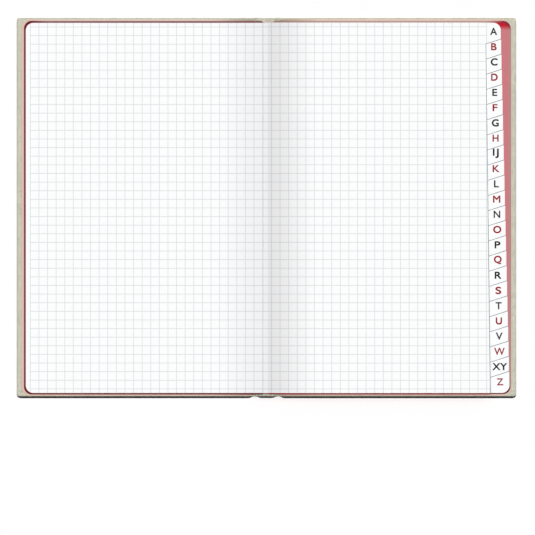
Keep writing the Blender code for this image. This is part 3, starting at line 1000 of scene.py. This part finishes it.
@dataclass
class TextBlock:
    """The leaves in their order from the front flyleaf to the back one, and the print on the tabs."""

    dip_share: float = 0.51
    arch: float = 1.35 * MM
    gatherings: int = 3
    gathering_leaves: int = 4
    section_leaves: int = 2
    left_flare: float = 1.1 * MM
    left_tail_flare: float = 0.75 * MM
    right_flare: float = 0.5 * MM
    head_flare: float = 0.2 * MM
    section_rise: float = 0.1 * MM
    section_bend: float = 0.15 * MM
    rise_share: float = 0.04
    bend_share: float = 0.5
    lowest_arch: float = 0.35
    flyleaf_rise: float = 0.5 * MM
    flyleaf_bend: float = 1.2 * MM
    flyleaf_inset: float = 0.15 * MM
    gathering_rise: float = 0.3 * MM
    gathering_bend: float = 1.6 * MM
    back_rise: float = 0.2 * MM
    back_bend: float = 0.4 * MM
    # How far the back flyleaf shows past the head of the pages, as a painted shadow line
    back_shadow_flare: float = 1.1 * MM
    top_reach: float = 0.2 * MM
    top_slide: float = 0.03 * MM
    top_tuck: float = 0.17 * MM

    def sections(self, finishes: Finishes) -> list[Leaves]:
        """Describe the index sections, which dip towards the gutter and fan out a little at head and tail."""
        made = []
        last = len(TABS) - 1
        for index, label in enumerate(TABS):
            top = {0: finishes.first, last: finishes.last}.get(index, finishes.index)
            made.append(Leaves("leaves_" + label, Side.RIGHT, self.section_leaves, top, finishes.left, 0.0,
                               self.section_rise, self.section_bend, self.head_flare * index / last,
                               self.right_flare * index / last, slide=LEAF_STEP, tab=index))
            made[-1].swell = -self.dip_share * made[-1].height
            made[-1].rise += self.rise_share * made[-1].height
            made[-1].bend += self.bend_share * made[-1].height
        return made

    def front(self, finishes: Finishes) -> list[Leaves]:
        """Describe the leaves on the left, which arch up towards the gutter and fan out at head and tail."""
        made = [Leaves("front_flyleaf", Side.LEFT, 1, finishes.front_endpaper, finishes.front_endpaper,
                       self.lowest_arch * self.arch, self.flyleaf_rise, self.flyleaf_bend, self.left_flare,
                       self.left_tail_flare, inset=self.flyleaf_inset)]
        for number in range(1, self.gatherings + 1):
            share = self.lowest_arch + (1.0 - self.lowest_arch) * number / self.gatherings
            spread = 1.0 - number / self.gatherings
            top = finishes.left if number == self.gatherings else finishes.left_deep_stain_and_shade
            made.append(Leaves("front_leaves_%d" % number, Side.LEFT, self.gathering_leaves, top,
                               finishes.index, share * self.arch, self.gathering_rise, self.gathering_bend,
                               self.left_flare * spread, self.left_tail_flare * spread))
        made[-1].inset = -self.top_reach
        made[-1].slide = self.top_slide
        made[-1].tuck = self.top_tuck
        return made

    def back_flyleaf(self, finishes: Finishes) -> Leaves:
        """Describe the back flyleaf, which lies flat on the back cover and shows past the head of the pages as
        a painted shadow line.
        """
        return Leaves("back_flyleaf", Side.RIGHT, 1, finishes.back_endpaper_painted_shadow, finishes.back_endpaper_painted_shadow, 0.0,
                      self.back_rise, self.back_bend, self.back_shadow_flare, self.right_flare)

    def build(self, finishes: Finishes) -> None:
        """Grow all the leaves and print the tabs."""
        bender = leaf_tree()
        printer = mark_tree()
        for leaves in [*self.front(finishes), self.back_flyleaf(finishes)]:
            leaves.build(bender, finishes)
        for leaves in self.sections(finishes):
            leaves.build(bender, finishes)
            IndexMark(leaves).build(printer, finishes)


def dress_solids(finishes: Finishes) -> None:
    """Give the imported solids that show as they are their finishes."""
    dresses = {
        "back_board": finishes.board, "front_board": finishes.board, "spine_strip": finishes.board,
        "section_backs": finishes.folds, "spine_mull": finishes.gauze,
    }
    for node, finish in dresses.items():
        solid = frame["nodes"][node]
        solid.data.materials.clear()
        solid.data.materials.append(finish)
        LOG.info("%s: %s", node, finish.name)


@dataclass(frozen=True)
class SoftLight:
    """One distant lamp: where it stands, how wide it is and what share of the light on the table it gives."""

    name: str
    toward: tuple[float, float, float]
    spread: float
    share: float

    def build(self) -> None:
        """Hang the lamp."""
        away = Vector(self.toward).normalized()
        lamp = bpy.data.lights.new(self.name, "SUN")
        lamp.angle = math.radians(self.spread)
        lamp.energy = self.share * math.pi / away.z
        light = bpy.data.objects.new(self.name, lamp)
        light.location = away
        light.rotation_euler = away.to_track_quat("Z", "Y").to_euler()
        bpy.context.scene.collection.objects.link(light)


@dataclass
class Studio:
    """A white table top under soft light, and a camera straight above it as in the photograph."""

    lens: float = 800.0
    sensor: float = 36.0
    floor_size: float = 20.0
    ambient: float = 0.24
    floor_lift: float = 0.015
    # Painted shadow: a dark strip in the table's own colour, along the tail side of what stands on it
    painted_shadow_reach: float = 1.9 * MM
    painted_shadow_full: float = 0.64
    painted_shadow_none: float = 0.705
    painted_shadow_samples: int = 32
    painted_shadow_tone: str = "#120E09"
    painted_shadow_side: tuple[float, float, float] = (0.0, 0.9, 0.44)
    table_tone: str = "#FCFCFC"
    lamps: tuple[SoftLight, ...] = (
        SoftLight("wide_lamp", (0.08, 0.25, 0.96), 60.0, 0.3),
        SoftLight("key_lamp", (0.03, 0.16, 0.98), 12.0, 0.48),
    )

    def build(self) -> None:
        """Make the floor, the lights and the camera."""
        self.floor()
        self.lights()
        self.camera()

    def backdrop(self, add: Adder, lit: float, seen: float) -> NodeSocket:
        """Mix two strengths: one that lights the object, and one that the eye and reflections see."""
        path = add("ShaderNodeLightPath").node.outputs
        mirrored = add(MATH, [path["Is Glossy Ray"], path["Is Transmission Ray"]], "MAXIMUM")
        looked = add(MATH, [path["Is Camera Ray"], mirrored], "MAXIMUM")
        return add(MATH, [looked, seen - lit, lit], "MULTIPLY_ADD")

    def floor(self) -> None:
        """Make the table top, which keeps the object's shadow, has a painted shadow along the tail side of
        what stands on it and is white to the camera.
        """
        made, add, shader = new_material("white table top")
        # Painted shadow: the table's colour darkens where things nearby hide it towards the tail side
        toward = add(COMBINE, self.painted_shadow_side)
        open_share = add("ShaderNodeAmbientOcclusion", {"Distance": self.painted_shadow_reach, "Normal": toward},
                         out="AO", samples=self.painted_shadow_samples)
        painted_shadow_share = add(RANGE, [open_share, self.painted_shadow_full, self.painted_shadow_none, 1.0, 0.0])
        colour = add(MIX, {"Factor": painted_shadow_share, "A": linear(self.table_tone), "B": linear(self.painted_shadow_tone)},
                     data_type="RGBA")
        set_inputs(shader, {"Base Color": colour, "Roughness": 0.9, "Specular IOR Level": 0.0,
                            "Emission Color": linear("#FFFFFF"),
                            "Emission Strength": self.backdrop(add, 0.0, self.floor_lift)})
        mesh = bpy.data.meshes.new("table_top")
        half = self.floor_size / 2
        mesh.from_pydata([(-half, -half, 0), (half, -half, 0), (half, half, 0), (-half, half, 0)], [],
                         [(0, 1, 2, 3)])
        mesh.materials.append(made)
        floor = bpy.data.objects.new("table_top", mesh)
        bpy.context.scene.collection.objects.link(floor)

    def lights(self) -> None:
        """Light the table evenly from all round, with a wide lamp and a sharper key high beyond the head."""
        scene = bpy.context.scene
        scene.view_settings.view_transform = "Standard"
        world = bpy.data.worlds.new("studio")
        world.use_nodes = True
        strength = self.backdrop(partial(add_node, world.node_tree), self.ambient, 1.0)
        set_inputs(world.node_tree.nodes["Background"], {"Color": linear("#FFFFFF"), "Strength": strength})
        scene.world = world
        for lamp in self.lamps:
            lamp.build()

    def camera(self) -> None:
        """Look straight down, with the open book where it lies in the photograph's frame."""
        view = bpy.data.cameras.new("camera")
        view.lens = self.lens
        view.sensor_width = self.sensor
        spot = bpy.data.objects.new("camera", view)
        width = IMAGE_PIXELS / PIXELS_PER_MM * MM
        centre = IMAGE_PIXELS / 2
        spot.location = ((centre - BOOK_CENTRE_PIXEL[0]) / PIXELS_PER_MM * MM,
                         (BOOK_CENTRE_PIXEL[1] - centre) / PIXELS_PER_MM * MM,
                         width * self.lens / self.sensor)
        bpy.context.scene.collection.objects.link(spot)
        bpy.context.scene.camera = spot


def main() -> None:
    """Dress the notebook: case, solids, leaves and studio."""
    logging.basicConfig(level=logging.INFO)
    finishes = Finishes()
    Cover("back", "back_cover", Side.RIGHT).build(finishes)
    Cover("front", "front_cover", Side.LEFT).build(finishes)
    CaseSpine().build(finishes)
    Pastedown("back_pastedown", "back_cover", Side.RIGHT).build(finishes)
    Pastedown("front_pastedown", "front_cover", Side.LEFT).build(finishes)
    dress_solids(finishes)
    TextBlock().build(finishes)
    Studio().build()


if __name__ == "__main__":
    main()
